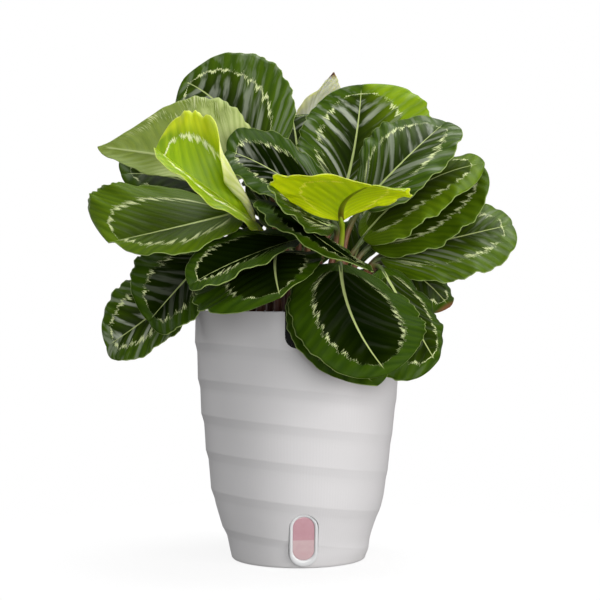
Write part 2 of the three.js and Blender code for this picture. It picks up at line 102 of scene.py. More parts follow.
# Each front leaf: its five points, and where it differs from a plain leaf. A stem is its stalk's place.
FRONT = [
    ((30, -57, 218), (37, -100, 180), (60, -118, 143), (84, -92, 180), (-4, -98, 178),
     dict(dark=0.95, painted_sheen=0.02)),
    ((17, -64, 205), (22, -90, 168), (54, -100, 134), (57, -82, 170), (-7, -84, 173),
     dict(taper=(0, 0.6), dark=0.8, painted_sheen=0.0)),
    ((60, -45, 215), (79, -61, 180), (97, -67, 148), (97, -36, 187), (47, -84, 156),
     dict(dark=0.65, painted_sheen=0.12)),
    ((68, 15, 221), (92, 10, 209), (113, 0, 187), (104, 33, 216), (79, -12, 192),
     dict(taper=(0.6, 0), dark=0.5, painted_sheen=0.1, tipbrown=1)),
    ((-77, 4, 208), (-109, -15, 181), (-141, -22, 158), (-99, -32, 161), (-128, -5, 207),
     dict(dark=0.4, painted_sheen=0.9)),
    ((-68, -15, 224), (-87, -38, 201), (-107, -50, 177), (-70, -62, 185), (-115, -30, 225),
     dict(dark=0.9, painted_sheen=0.15)),
    ((-16, -46, 226), (-16, -88, 212), (-12, -125, 194), (17, -62, 222), (-70, -95, 192),
     dict(taper=(1, 0), dark=0.9, painted_sheen=0.0)),
    ((0, -35, 236), (-39, -75, 221), (-74, -105, 202), (-34, -105, 213), (-54, -47, 239),
     dict(dark=1.0, painted_sheen=0.0)),
    ((61, -10, 224), (111, -15, 237), (158, -15, 248), (121, 15, 261), (121, -43, 209),
     dict(taper=(0.3, 0), dark=0.1, painted_sheen=0.35, lime=0.15)),
    ((-45, -17, 257), (-88, -50, 244), (-135, -58, 233), (-79, -80, 226), (-138, -38, 275),
     dict(taper=(2.5, 0), dark=0.0, painted_sheen=0.05, lime=0.3, fold=0.22)),
    ((-14, -22, 262), (15, -65, 235), (49, -105, 212), (31, -61, 228), (-18, -85, 245),
     dict(taper=(0.5, 0.1), dark=1.0, painted_sheen=0.0)),
    ((53, -10, 233), (98, -5, 263), (138, -5, 292), (95, 28, 279), (113, -32, 239),
     dict(dark=0.6, painted_sheen=0.0, lime=0.15)),
    ((47, -20, 238), (87, -20, 275), (137, -20, 293), (81, 12, 289), (92, -54, 250),
     dict(dark=0.5, painted_sheen=0.0, lime=0.4)),
    ((26, -29, 246), (6, -66, 252), (-18, -100, 270), (-1, -98, 246), (12, -36, 247),
     dict(dark=0.7, painted_sheen=0.1)),
    ((31, -47, 249), (33, -80, 262), (49, -120, 269), (76, -80, 265), (-18, -88, 274),
     dict(young=True, taper=(0.3, 1.2), neck=1.1, stem=(38, -36), fold=0.15)),
    ((-32, -24, 249), (-65, -52, 272), (-102, -50, 300), (-65, -86, 263), (-65, -45, 323),
     dict(young=True, taper=(0.5, 0), curl=(0, 290), pale=1.0, fold=0.15)),
    ((-45, 20, 264), (-89, 22, 284), (-135, 15, 288), (-90, 0, 258), (-89, 45, 311),
     dict(dark=0.4, painted_sheen=0.1)),
    ((25, -8, 253), (-13, -12, 284), (-53, -14, 303), (-26, -46, 269), (-10, 10, 314),
     dict(dark=1.0, painted_sheen=0.35)),
    ((47, -25, 262), (77, -28, 294), (110, -5, 325), (56, -2, 318), (98, -52, 282),
     dict(dark=0.3, painted_sheen=0.5)),
    ((-40, 10, 289), (-93, 0, 299), (-149, -12, 306), (-66, 18, 346), (-94, -12, 283),
     dict(taper=(2.6, 0.5), dark=0.2, painted_sheen=0.1, peek=1, pale=1.0)),
    ((-30, 22, 300), (-58, 32, 340), (-90, 40, 363), (-90, 28, 312), (-16, 38, 371),
     dict(taper=(0.1, 0.7), dark=0.3, painted_sheen=0.5)),
    ((35, 18, 276), (44, 30, 316), (49, 42, 360), (1, 24, 317), (102, 32, 323),
     dict(taper=(0, 0.3), dark=0.4, painted_sheen=1.0, lime=1, two_tone=True, lean=1.15)),
    ((5, 38, 279), (7, 68, 328), (28, 64, 373), (-2, 88, 320), (27, 80, 336),
     dict(taper=(2.6, 1.2), tipcurl=(200, 0), dark=0.2, painted_sheen=0.1, tipbrown=1, rolled=True)),
]

# Each back leaf: azimuth, base radius and height, tip radius and height, half width, arch.
BACK = [
    (96, 56, 204, 118, 160, 40, 16), (132, 50, 222, 122, 194, 38, 14), (60, 50, 205, 125, 190, 35, 15),
    (168, 56, 224, 112, 218, 28, 8), (20, 66, 230, 128, 232, 28, 6), (90, 45, 215, 80, 270, 30, 5),
    (124, 46, 253, 114, 270, 34, 14), (145, 50, 245, 120, 245, 35, 10), (45, 50, 215, 85, 265, 25, 5),
    (100, 22, 285, 62, 338, 33, 8), (130, 30, 240, 60, 285, 20, 5),
]


# ---- mesh helpers

def new_object(name, verts, faces, materials, face_slots=None, sharp=None):
    """A piece from points in millimetres."""
    mesh = bpy.data.meshes.new(name)
    mesh.from_pydata([tuple(float(c) * MM for c in v) for v in verts], [], faces)
    for material in materials:
        mesh.materials.append(material)
    if face_slots is not None:
        mesh.polygons.foreach_set("material_index", face_slots)
    mesh.polygons.foreach_set("use_smooth", [True] * len(mesh.polygons))
    if sharp is not None:
        mesh.set_sharp_from_angle(angle=math.radians(sharp))
    mesh.update()
    obj = bpy.data.objects.new(name, mesh)
    bpy.context.scene.collection.objects.link(obj)
    return obj


def skin(rings):
    """Points and faces of a closed skin over rings. A ring of one point closes an end."""
    verts, faces, starts = [], [], []
    for ring in rings:
        starts.append(len(verts))
        verts.extend(ring)
    for i in range(len(rings) - 1):
        a, b = rings[i], rings[i + 1]
        n = max(len(a), len(b))
        for j in range(n):
            k = (j + 1) % n
            lo = [starts[i]] if len(a) == 1 else [starts[i] + j, starts[i] + k]
            hi = [starts[i + 1]] if len(b) == 1 else [starts[i + 1] + k, starts[i + 1] + j]
            faces.append(lo + hi)
    return verts, faces


def circle(radius, z, sides):
    a = np.linspace(0, 2 * math.pi, sides, endpoint=False)
    return [(radius * math.cos(t), radius * math.sin(t), z) for t in a]


def smooth_profile(points):
    """A function from height to radius that runs smoothly through the points."""
    r = np.array([p[0] for p in points], float)
    z = np.array([p[1] for p in points], float)
    slope = np.gradient(r, z)

    def at(h):
        i = int(np.clip(np.searchsorted(z, h) - 1, 0, len(z) - 2))
        step = z[i + 1] - z[i]
        s = (h - z[i]) / step
        h00, h10 = 2 * s ** 3 - 3 * s ** 2 + 1, s ** 3 - 2 * s ** 2 + s
        h01, h11 = -2 * s ** 3 + 3 * s ** 2, s ** 3 - s ** 2
        return h00 * r[i] + h10 * step * slope[i] + h01 * r[i + 1] + h11 * step * slope[i + 1]

    return at


pot_radius = smooth_profile(POT_PROFILE)


def plain_radius(z):
    return float(np.interp(z, [p[1] for p in POT_PROFILE], [p[0] for p in POT_PROFILE]))


def inner_radius(z):
    return plain_radius(z) - POT_WALL


def radial_basis(azimuth, tilt):
    """The axes across, up and out of a wall. A tilt turns the outward axis down."""
    a, t = math.radians(azimuth), math.radians(tilt)
    across = np.array([-math.sin(a), math.cos(a), 0])
    out = np.array([math.cos(a) * math.cos(t), math.sin(a) * math.cos(t), -math.sin(t)])
    return across, np.cross(out, across), out


def arc(x, y, radius, start, end, count):
    return [(x + radius * math.cos(t), y + radius * math.sin(t)) for t in np.linspace(start, end, count)]


def stadium(width, height, lift=0, count=64):
    """Points round an upright stadium, counterclockwise."""
    r = width / 2
    straight = height / 2 - r
    half = count // 2
    upper = arc(0, lift + straight, r, 0, math.pi, half)
    lower = arc(0, lift - straight, r, math.pi, 2 * math.pi, half)
    return upper + lower


def cut(obj, *cutters):
    """Cuts solids out of a piece."""
    for cutter in cutters:
        modifier = obj.modifiers.new("cut", "BOOLEAN")
        modifier.operation = "DIFFERENCE"
        modifier.solver = "EXACT"
        modifier.object = cutter
    bpy.context.view_layer.update()
    graph = bpy.context.evaluated_depsgraph_get()
    mesh = bpy.data.meshes.new_from_object(obj.evaluated_get(graph))
    obj.modifiers.clear()
    obj.data = mesh
    for cutter in cutters:
        bpy.data.objects.remove(cutter)


def shade_smooth(obj, sharp):
    obj.data.polygons.foreach_set("use_smooth", [True] * len(obj.data.polygons))
    obj.data.set_sharp_from_angle(angle=math.radians(sharp))


def prism(outline, origin, basis, depth):
    """A cutter: an outline drawn across and up a wall, run outward."""
    across, up, out = basis
    rings = []
    for d in (0, depth):
        rings.append([tuple(origin + across * x + up * y + out * d) for x, y in outline])
    centre = [tuple(np.mean(ring, axis=0)) for ring in rings]
    verts, faces = skin([[centre[0]], rings[0], rings[1], [centre[1]]])
    return new_object("cutter", verts, faces, [])


def finish_piece(obj, node):
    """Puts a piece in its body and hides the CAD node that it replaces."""
    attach(obj, "root")
    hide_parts(node)


# ---- shader helpers

class Nodes:
    """A small builder for a material's node tree."""

    def __init__(self, name):
        self.material = bpy.data.materials.new(name)
        self.material.use_nodes = True
        self.tree = self.material.node_tree
        self.shader = self.tree.nodes["Principled BSDF"]

    def link(self, value, socket):
        if hasattr(value, "links"):
            self.tree.links.new(value, socket)
        else:
            socket.default_value = value

    def attribute(self, name):
        node = self.tree.nodes.new("ShaderNodeAttribute")
        node.attribute_name = name
        return node.outputs["Fac"]

    def math(self, operation, a, b=0.0):
        node = self.tree.nodes.new("ShaderNodeMath")
        node.operation = operation
        for value, socket in zip((a, b), node.inputs):
            self.link(value, socket)
        return node.outputs[0]

    def add(self, a, b):
        return self.math("ADD", a, b)

    def sub(self, a, b):
        return self.math("SUBTRACT", a, b)

    def mul(self, a, b):
        return self.math("MULTIPLY", a, b)

    def smooth(self, value, low, high):
        """0 at low, 1 at high, in a soft step."""
        node = self.tree.nodes.new("ShaderNodeMapRange")
        node.interpolation_type = "SMOOTHSTEP"
        self.link(value, node.inputs["Value"])
        self.link(low, node.inputs["From Min"])
        self.link(high, node.inputs["From Max"])
        return node.outputs["Result"]

    def below(self, value, limit, soft):
        """1 where the value is under the limit, fading out over soft."""
        return self.smooth(self.sub(limit, value), 0.0, soft)

    def mix(self, factor, a, b):
        node = self.tree.nodes.new("ShaderNodeMix")
        node.data_type = "RGBA"
        self.link(factor, node.inputs[0])
        for value, socket in ((a, node.inputs[6]), (b, node.inputs[7])):
            if isinstance(value, tuple):
                socket.default_value = (*value, 1)
            else:
                self.link(value, socket)
        return node.outputs[2]

    def vector(self, x, y, z):
        node = self.tree.nodes.new("ShaderNodeCombineXYZ")
        for value, socket in zip((x, y, z), node.inputs):
            self.link(value, socket)
        return node.outputs[0]

    def noise(self, vector=None, scale=1.0, detail=3.0, rough=0.55):
        node = self.tree.nodes.new("ShaderNodeTexNoise")
        node.inputs["Scale"].default_value = scale
        node.inputs["Detail"].default_value = detail
        node.inputs["Roughness"].default_value = rough
        if vector is None:
            vector = self.position()
        self.link(vector, node.inputs["Vector"])
        return node.outputs["Fac"]

    def position(self):
        node = self.tree.nodes.new("ShaderNodeTexCoord")
        return node.outputs["Object"]

    def height(self):
        node = self.tree.nodes.new("ShaderNodeSeparateXYZ")
        self.link(self.position(), node.inputs[0])
        return node.outputs[2]

    def thin(self, weight):
        """Lets light through a leaf."""
        self.shader.inputs["Subsurface Weight"].default_value = weight
        self.shader.inputs["Subsurface Radius"].default_value = (1.0, 1.0, 0.3)
        self.shader.inputs["Subsurface Scale"].default_value = 0.003

    def bump(self, value, distance, strength=1.0):
        node = self.tree.nodes.new("ShaderNodeBump")
        node.inputs["Distance"].default_value = distance
        node.inputs["Strength"].default_value = strength
        self.link(value, node.inputs["Height"])
        self.link(node.outputs[0], self.shader.inputs["Normal"])

    def set(self, **values):
        names = {"color": "Base Color", "rough": "Roughness", "specular": "Specular IOR Level",
                 "coat": "Coat Weight", "coat_rough": "Coat Roughness", "alpha": "Alpha"}
        for key, value in values.items():
            self.link(value, self.shader.inputs[names[key]])
        return self.material


# ---- leaf materials

def leaf_fields(n):
    """The leaf's own coordinates: folds along the veins, distance from the ring line, and so on."""
    f = {k: n.attribute(k) for k in ("vein", "ring", "rib", "edge", "along", "dark", "painted_sheen", "lime",
                                     "pale", "peek", "seed", "brown")}
    for name, across, outward, shift, detail in (
            ("streak", 4.0, 0.05, 0.0, 4.0), ("fine", 17.0, 0.08, 3.0, 3.0), ("dash", 13.0, 0.03, 12.0, 2.0),
            ("patch", 0.6, 0.06, 8.0, 2.0), ("broad", 1.25, 0.03, 10.0, 3.0)):
        place = n.vector(n.mul(f["vein"], across), n.mul(f["ring"], outward), n.add(f["seed"], shift))
        f[name] = n.noise(place, detail=detail)
    turn = n.add(f["vein"], n.mul(n.sub(f["streak"], 0.5), 0.5))
    f["fold"] = n.add(0.5, n.mul(n.math("SINE", n.mul(turn, TURN)), 0.5))
    return f


def ring_mask(n, f, width, jag):
    """The pale ring, brushed out along the veins, and the distance outside its brushed line."""
    wander = n.add(n.mul(n.sub(f["dash"], 0.5), 12.0 * jag), n.mul(n.sub(f["streak"], 0.5), 5.0 * jag))
    wander = n.add(wander, n.mul(n.sub(f["fold"], 0.5), 2.2 * jag))
    line = n.add(f["ring"], wander)
    reach = n.mul(width, n.add(0.1, n.mul(f["fine"], 1.4)))
    reach = n.mul(reach, n.mul(n.smooth(f["patch"], 0.3, 0.6), n.add(0.45, n.mul(f["fold"], 0.75))))
    near = n.below(n.math("ABSOLUTE", line), n.add(reach, 0.15), 0.8)
    return n.mul(near, n.smooth(f["along"], 0.05, 0.2)), line


def midrib_mask(n, f, wide, thin):
    """The midrib, wide at the base and thin at the tip."""
    width = n.add(wide, n.mul(f["along"], thin - wide))
    rib = n.below(f["rib"], width, 0.45)
    return n.mul(rib, n.below(f["along"], 0.965, 0.05))


def brown_tip(n, f, color):
    return n.mix(n.mul(f["brown"], n.smooth(f["along"], 0.93, 0.99)), color, (0.16, 0.07, 0.03))


def adult_upper():
    """Dark inside the pale ring and greener outside it, with a painted sheen: grey streaks between the veins
    that stand for the lamps' reflection on the folds.
    """
    n = Nodes("leaf_upper")
    f = leaf_fields(n)
    ring, line = ring_mask(n, f, n.sub(2.3, n.mul(f["dark"], 0.95)), 1.0)
    inside = n.below(line, 2.0, 4.0)
    stripes = n.add(n.add(n.mul(f["fold"], 0.2), n.mul(f["streak"], 0.35)), n.mul(f["broad"], 0.4))
    centre = n.smooth(f["ring"], -24.0, -1.0)
    open_tone = n.mul(n.sub(1.0, n.mul(f["dark"], 0.92)), n.add(0.4, n.mul(centre, 0.6)))
    inner = n.mix(n.mul(stripes, open_tone), (0.0010, 0.0032, 0.0004), (0.085, 0.160, 0.003))
    outer = n.mix(stripes, (0.007, 0.028, 0.001), (0.085, 0.155, 0.003))
    deep = n.mix(stripes, (0.004, 0.016, 0.0006), (0.022, 0.055, 0.001))
    outer = n.mix(n.mul(f["dark"], 0.65), outer, deep)
    lime = n.mix(stripes, (0.080, 0.180, 0.002), (0.300, 0.430, 0.008))
    outer = n.mix(n.mul(f["lime"], 0.85), outer, lime)
    inner = n.mix(n.mul(f["lime"], 0.30), inner, lime)
    color = n.mix(inside, outer, inner)
    # Painted sheen: grey streaks along the folds, painted into the colour for the lamps' reflection on the
    # glossy pleats. Its strength also raises the specular.
    crest = n.math("SINE", n.add(n.mul(f["vein"], TURN), n.add(1.3, n.mul(f["streak"], 2.2))))
    painted_sheen = n.smooth(n.add(n.add(f["broad"], n.mul(crest, 0.07)), n.mul(f["streak"], 0.12)), 0.55, 0.74)
    painted_sheen = n.mul(n.mul(painted_sheen, f["painted_sheen"]), n.add(0.35, n.mul(inside, 0.35)))
    color = n.mix(painted_sheen, color, (0.42, 0.46, 0.36))
    faint = n.mul(n.smooth(f["dark"], 0.93, 1.0), n.below(f["along"], 0.6, 0.25))
    color = n.mix(n.mul(ring, n.sub(0.9, n.mul(faint, 0.8))), color, (0.64, 0.70, 0.36))
    rib = n.mul(midrib_mask(n, f, 1.6, 0.45), n.sub(0.9, n.mul(faint, 0.6)))
    color = n.mix(rib, color, (0.44, 0.52, 0.20))
    color = n.mix(n.mul(n.below(f["edge"], 0.6, 0.5), 0.7), color, (0.34, 0.44, 0.14))
    color = brown_tip(n, f, color)
    n.bump(f["fine"], 0.0003, 0.6)
    rough = n.add(0.26, n.mul(f["fine"], 0.2))
    dull = n.sub(1.0, n.mul(f["dark"], n.add(0.45, n.mul(inside, 0.55))))
    gloss = n.mul(n.mul(dull, dull), 0.10)
    return n.set(color=color, rough=rough, specular=n.add(gloss, n.mul(painted_sheen, 0.4)))


def adult_under():
    """The underside is wine brown. On a pale leaf it is light green, and mottled where the margin rolls."""
    n = Nodes("leaf_under")
    f = leaf_fields(n)
    tone = n.add(n.mul(f["fold"], 0.35), n.mul(f["fine"], 0.65))
    wine = n.mix(tone, (0.032, 0.012, 0.009), (0.130, 0.050, 0.038))
    wine = n.mix(n.mul(n.smooth(f["patch"], 0.45, 0.7), 0.5), wine, (0.050, 0.070, 0.018))
    wine = n.mix(n.mul(midrib_mask(n, f, 1.6, 0.6), 0.7), wine, (0.16, 0.12, 0.05))
    pale = n.mix(tone, (0.190, 0.260, 0.045), (0.520, 0.590, 0.240))
    green = n.mix(f["streak"], (0.035, 0.085, 0.002), (0.210, 0.275, 0.020))
    turn = n.add(f["along"], n.mul(n.sub(f["streak"], 0.5), 0.3))
    pale = n.mix(n.mul(n.smooth(turn, 0.42, 0.70), 0.85), pale, green)
    cream = n.smooth(n.add(f["fine"], n.mul(f["patch"], 0.5)), 0.74, 0.98)
    green = n.mix(n.mul(cream, 0.7), green, (0.66, 0.70, 0.38))
    peek = n.mul(f["peek"], n.smooth(n.add(n.mul(f["broad"], 0.5), n.mul(f["patch"], 0.8)), 0.52, 0.74))
    pale = n.mix(peek, pale, green)
    pale = n.mix(n.mul(midrib_mask(n, f, 1.6, 0.6), 0.7), pale, (0.42, 0.49, 0.20))
    color = n.mix(f["pale"], wine, pale)
    color = n.mix(n.mul(n.below(f["edge"], 0.7, 0.5), 0.6), color, (0.30, 0.38, 0.12))
    color = brown_tip(n, f, color)
    n.bump(f["fine"], 0.0003, 0.5)
    return n.set(color=color, rough=n.add(0.42, n.mul(f["streak"], 0.15)), specular=0.2)


def rolled_leaf():
    """A new leaf, still half rolled: green with a ring near the base, nearly white where it rolls."""
    n = Nodes("leaf_rolled")
    f = leaf_fields(n)
    tone = n.add(n.mul(f["fold"], 0.3), n.mul(f["fine"], 0.7))
    white = n.mix(tone, (0.46, 0.49, 0.32), (0.80, 0.82, 0.66))
    green = n.mix(f["streak"], (0.045, 0.100, 0.004), (0.200, 0.280, 0.020))
    ring, _ = ring_mask(n, f, 1.8, 0.8)
    green = n.mix(n.mul(ring, 0.9), green, (0.62, 0.68, 0.36))
    turn = n.add(f["along"], n.mul(n.sub(f["streak"], 0.5), 0.25))
    color = n.mix(n.smooth(turn, 0.42, 0.62), green, white)
    color = brown_tip(n, f, color)
    n.bump(f["fine"], 0.0003, 0.5)
    n.thin(0.6)
    return n.set(color=color, rough=n.add(0.4, n.mul(f["streak"], 0.15)), specular=0.2)


def young_upper():
    """Lime green, with a pale ring, and painted light on the right margin: where it rolls away from the lamps
    it is painted lighter.
    """
    n = Nodes("young_upper")
    f = leaf_fields(n)
    ring, line = ring_mask(n, f, 2.9, 0.8)
    tone = n.add(n.mul(f["fold"], 0.3), n.mul(f["streak"], 0.6))
    inner = n.mix(tone, (0.17, 0.30, 0.002), (0.36, 0.50, 0.003))
    outer = n.mix(tone, (0.11, 0.22, 0.002), (0.32, 0.44, 0.003))
    # Painted light: the right margin, which rolls away from the lamps, is mixed toward bright lime as if it
    # were lit.
    outer = n.mix(n.mul(f["lime"], 0.85), outer, n.mix(tone, (0.36, 0.48, 0.004), (0.66, 0.72, 0.010)))
    color = n.mix(n.below(line, 0.5, 3.0), outer, inner)
    color = n.mix(n.mul(ring, 0.9), color, (0.78, 0.82, 0.48))
    color = n.mix(n.mul(midrib_mask(n, f, 1.5, 0.5), 0.85), color, (0.58, 0.70, 0.16))
    color = n.mix(n.mul(n.below(f["edge"], 0.7, 0.5), 0.6), color, (0.58, 0.68, 0.16))
    n.bump(f["fine"], 0.00025, 0.5)
    n.thin(0.8)
    return n.set(color=color, rough=n.add(0.32, n.mul(f["fine"], 0.15)), specular=0.22)


def young_under():
    """Lime green with a dark midrib, or cream with green streaks on a pale leaf."""
    n = Nodes("young_under")
    f = leaf_fields(n)
    tone = n.add(n.mul(f["fold"], 0.4), n.mul(f["fine"], 0.6))
    lime = n.mix(n.mul(tone, 0.8), (0.44, 0.60, 0.006), (0.76, 0.90, 0.016))
    pale = n.mix(tone, (0.64, 0.72, 0.20), (0.86, 0.89, 0.46))
    pale = n.mix(n.mul(n.smooth(f["streak"], 0.4, 0.75), 0.5), pale, (0.42, 0.55, 0.06))
    color = n.mix(f["pale"], lime, pale)
    ring, _ = ring_mask(n, f, 1.6, 0.5)
    color = n.mix(n.mul(ring, 0.8), color, (0.90, 0.92, 0.22))
    stem = n.mix(n.smooth(f["along"], 0.05, 0.45), (0.13, 0.07, 0.008), (0.30, 0.36, 0.01))
    rib = n.mul(midrib_mask(n, f, 2.3, 0.8), n.sub(1.0, f["pale"]))
    color = n.mix(n.mul(rib, 0.9), color, stem)
    color = n.mix(n.mul(n.below(f["edge"], 0.7, 0.5), 0.6), color, (0.62, 0.70, 0.20))
    n.bump(f["fine"], 0.0003, 0.5)
    n.thin(0.8)
    return n.set(color=color, rough=n.add(0.36, n.mul(f["streak"], 0.12)), specular=0.22)


def stalk_material(name, low, middle, high):
    """A stalk: colour runs from the soil to the blade, with fine lengthwise lines."""
    n = Nodes(name)
    along, angle, seed = n.attribute("along"), n.attribute("vein"), n.attribute("seed")
    lines = n.noise(n.vector(n.mul(angle, 9.0), n.mul(along, 2.0), seed), detail=3.0)
    mottle = n.noise(n.vector(n.mul(angle, 1.5), n.mul(along, 14.0), seed), detail=3.0)
    where = n.add(along, n.mul(n.sub(mottle, 0.5), 0.25))
    color = n.mix(n.smooth(where, 0.05, 0.45), low, middle)
    color = n.mix(n.smooth(where, 0.55, 0.92), color, high)
    color = n.mix(n.mul(n.smooth(lines, 0.45, 0.75), 0.35), color, (0.02, 0.012, 0.008))
    n.bump(lines, 0.0003, 0.6)
    return n.set(color=color, rough=n.add(0.38, n.mul(mottle, 0.2)), specular=0.45)


# ---- leaves

def soil_height(r, azimuth):
    """A low mound with lumps."""
    edge = inner_radius(SOIL_EDGE) - 3
    mound = SOIL_EDGE + (SOIL_CROWN - SOIL_EDGE) * math.cos(min(r / edge, 1) * math.pi / 2)
    lumps = math.sin(r * 0.31 + 3 * azimuth) * math.cos(r * 0.19 - 5 * azimuth + 1)
    return mound + SOIL_LUMP * lumps * min(1, r / 10)


def back_leaf(azimuth, base_r, base_z, tip_r, tip_z, half, arch):
    """A leaf that runs straight out from the crown, in the form of the front leaves."""
    a = math.radians(azimuth)

    def place(r, side, z):
        x = CROWN[0] + r * math.cos(a) + side * math.sin(a)
        y = CROWN[1] + r * math.sin(a) - side * math.cos(a)
        return (x, y, z)

    mid_r, mid_z = (base_r + tip_r) / 2, (base_z + tip_z) / 2 + arch
    margin_z = mid_z + 5
    return (place(base_r, 0, base_z), place(mid_r, 0, mid_z), place(tip_r, 0, tip_z),
            place(mid_r, -half, margin_z), place(mid_r, half, margin_z), dict(dark=0.5, painted_sheen=0.45))


def all_leaves():
    leaves = []
    for i, (*points, look) in enumerate(FRONT + [back_leaf(*row) for row in BACK]):
        leaves.append({**PLAIN_LEAF, "seed": i + 1, **dict(zip(POINTS, points)), **look})
    place_stems(leaves)
    return leaves


def place_stems(leaves):
    """Each stalk takes the free place of a lattice that is nearest to where it wants to stand."""
    places = []
    for i in range(-5, 6):
        for j in range(-5, 6):
            x = CROWN[0] + STEM_SPACING * (i + (0.5 if j % 2 else 0))
            y = CROWN[1] + STEM_SPACING * j * math.sqrt(3) / 2
            if math.hypot(x, y) < STEM_LIMIT:
                places.append((x, y))
    for leaf in leaves:
        inward = min(max(0.88 - 0.005 * (leaf["base"][2] - 205), 0.35), 0.88)
        want = leaf.get("stem") or (leaf["base"][0] * inward, leaf["base"][1] * inward)
        places.sort(key=lambda p: math.dist(p, want))
        x, y = places.pop(0)
        leaf["foot"] = np.array([x, y, soil_height(math.hypot(x, y), math.atan2(y, x)) - PETIOLE_DEPTH])


def unit(v):
    return v / np.linalg.norm(v, axis=-1, keepdims=True)


class Rib:
    """The midrib's curve and its axes."""

    def __init__(self, leaf):
        base, mid, tip, left, right = (np.array(leaf[k], float) for k in POINTS)
        self.base, self.tip = base, tip
        self.bend = 2 * mid - (base + tip) / 2
        chord = unit(tip - base)
        self.up = unit(np.cross(right - left, chord))
        side = np.cross(chord, self.up)
        self.halves = [[float((p - mid) @ axis) for axis in (chord, side, self.up)] for p in (left, right)]
        self.length = float(np.linalg.norm(mid - base) + np.linalg.norm(tip - mid))

    def frame(self, t):
        """Points of the midrib, and the axes along it, normal to the blade and across it."""
        t = np.asarray(t, float)[..., None]
        point = (1 - t) ** 2 * self.base + 2 * t * (1 - t) * self.bend + t ** 2 * self.tip
        along = unit((1 - t) * (self.bend - self.base) + t * (self.tip - self.bend))
        normal = unit(self.up - along * (along @ self.up)[..., None])
        return point, along, normal, np.cross(along, normal)


def grid_normals(grid):
    du = np.gradient(grid, axis=0)
    dv = np.gradient(grid, axis=1)
    n = np.cross(dv, du)
    size = np.linalg.norm(n, axis=2, keepdims=True)
    n = n / np.maximum(size, 1e-9)
    n[0], n[-1] = unit(n[1].mean(axis=0)), unit(n[-2].mean(axis=0))
    return n


def blade(leaf, rib, rows, cols):
    """The blade's grid of points, its normals and the fields that its material reads."""
    u = np.linspace(0, 1, rows + 1)
    s = np.linspace(-1, 1, cols + 1)
    v = np.sign(s) * np.abs(s) ** 1.25
    t = (1 - np.cos(np.pi * u)) / 2
    point, along, normal, across = rib.frame(t)
    a = np.abs(v)[None, :]
    right = (v > 0)[None, :]
    sign = np.where(right, 1.0, -1.0)
    T, S = t[:, None], np.clip(np.sin(np.pi * u), 0, 1)[:, None]
    shift, out, lift = (np.where(right, r, l) for l, r in zip(rib.halves[0], rib.halves[1]))
    reach = np.hypot(out, lift)
    start = np.arctan2(lift, sign * out)
    halves = [np.where(right, leaf[k][1], leaf[k][0]) for k in ("taper", "curl", "tipcurl")]
    taper, base_curl, tip_curl = halves
    wide = S ** (OUTLINE_POWER * (1 + taper * T + leaf["neck"] * (1 - T)))
    seed = leaf["seed"]
    phase = 2.1 * (seed + np.where(right, 1.7, 0))
    scallop = SCALLOP + SCALLOP_COARSE * np.sin(2 * np.pi * 6.5 * T + 1.7 * phase)
    scallop = scallop + SCALLOP_FINE * np.sin(2 * np.pi * 14 * T + phase)
    wide_edge = wide * (1 + scallop * a ** 3 * S)
    curl = np.radians(base_curl) * np.maximum(0, 1 - (T / 0.52) ** 2)
    curl = curl + np.radians(tip_curl) * np.maximum(0, (T - 0.4) / 0.6)
    curl = np.where(curl == 0, 1e-4, curl)
    flat = np.minimum(a, FLAT)
    end = start + curl * (a - flat) / (1 - FLAT)
    bend = (1 - FLAT) / curl
    x = flat * np.cos(start) + bend * (np.sin(end) - np.sin(start))
    y = flat * np.sin(start) + bend * (np.cos(start) - np.cos(end))
    wave = WAVE * a ** 2.5 * S ** 0.6 * np.sin(2 * np.pi * 3 * T + phase)
    rise = wave + 2 * CUP * a * (1 - a) * wide
    grid = (point[:, None, :] + along[:, None, :] * (wide_edge * a * shift)[..., None]
            + across[:, None, :] * (sign * (wide_edge * reach * x - rise * np.sin(end)))[..., None]
            + normal[:, None, :] * (wide_edge * reach * y + rise * np.cos(end))[..., None])
    lean = T - leaf["lean"] * a ** 1.12 * (1 - T) ** 0.7
    vein = lean * rib.length / VEIN_SPACING + seed * 0.37
    span = wide * reach
    line = ring_share(T, taper, phase) * reach
    past_end = np.maximum(0, np.abs(T - RING_CENTRE) - RING_LENGTH / 2) * rib.length
    fields = blade_fields(leaf, v, T, S, span)
    fields["vein"] = vein
    fields["ring"] = a * span - line + past_end
    fold = leaf["fold"] * np.sin(2 * np.pi * vein) * np.clip(a / 0.2, 0, 1) * (1 - a ** 3) * S ** 0.5
    ripple = RIPPLE * a ** 4 * S ** 0.5 * np.sin(2 * np.pi * 7 * T + 2 * phase)
    groove = -GROOVE * np.exp(-(a * span / 1.5) ** 2) * np.clip(1.1 - T, 0, 1) * S ** 0.3
    n = grid_normals(grid)
    grid = grid + n * (fold + ripple + groove)[..., None]
    n = grid_normals(grid)
    thick = 0.28 + 0.25 * (1 - a) * S
    ridge = RIDGE * np.exp(-(a * span / 1.3) ** 2) * np.clip(1 - T, 0, 1) ** 0.7 * S ** 0.3
    return grid, n, thick, thick + ridge, fields


def ring_share(T, taper, phase):
    """How far from the midrib the pale ring runs, as a share of the blade's half width."""
    inner_t = np.clip(RING_CENTRE + (T - RING_CENTRE) / RING_LENGTH, 1e-4, 1 - 1e-4)
    inner_wide = (2 * np.sqrt(inner_t * (1 - inner_t))) ** (OUTLINE_POWER * (1 + taper * T))
    return (RING_OUT + RING_SWAY * np.sin(phase)) * inner_wide


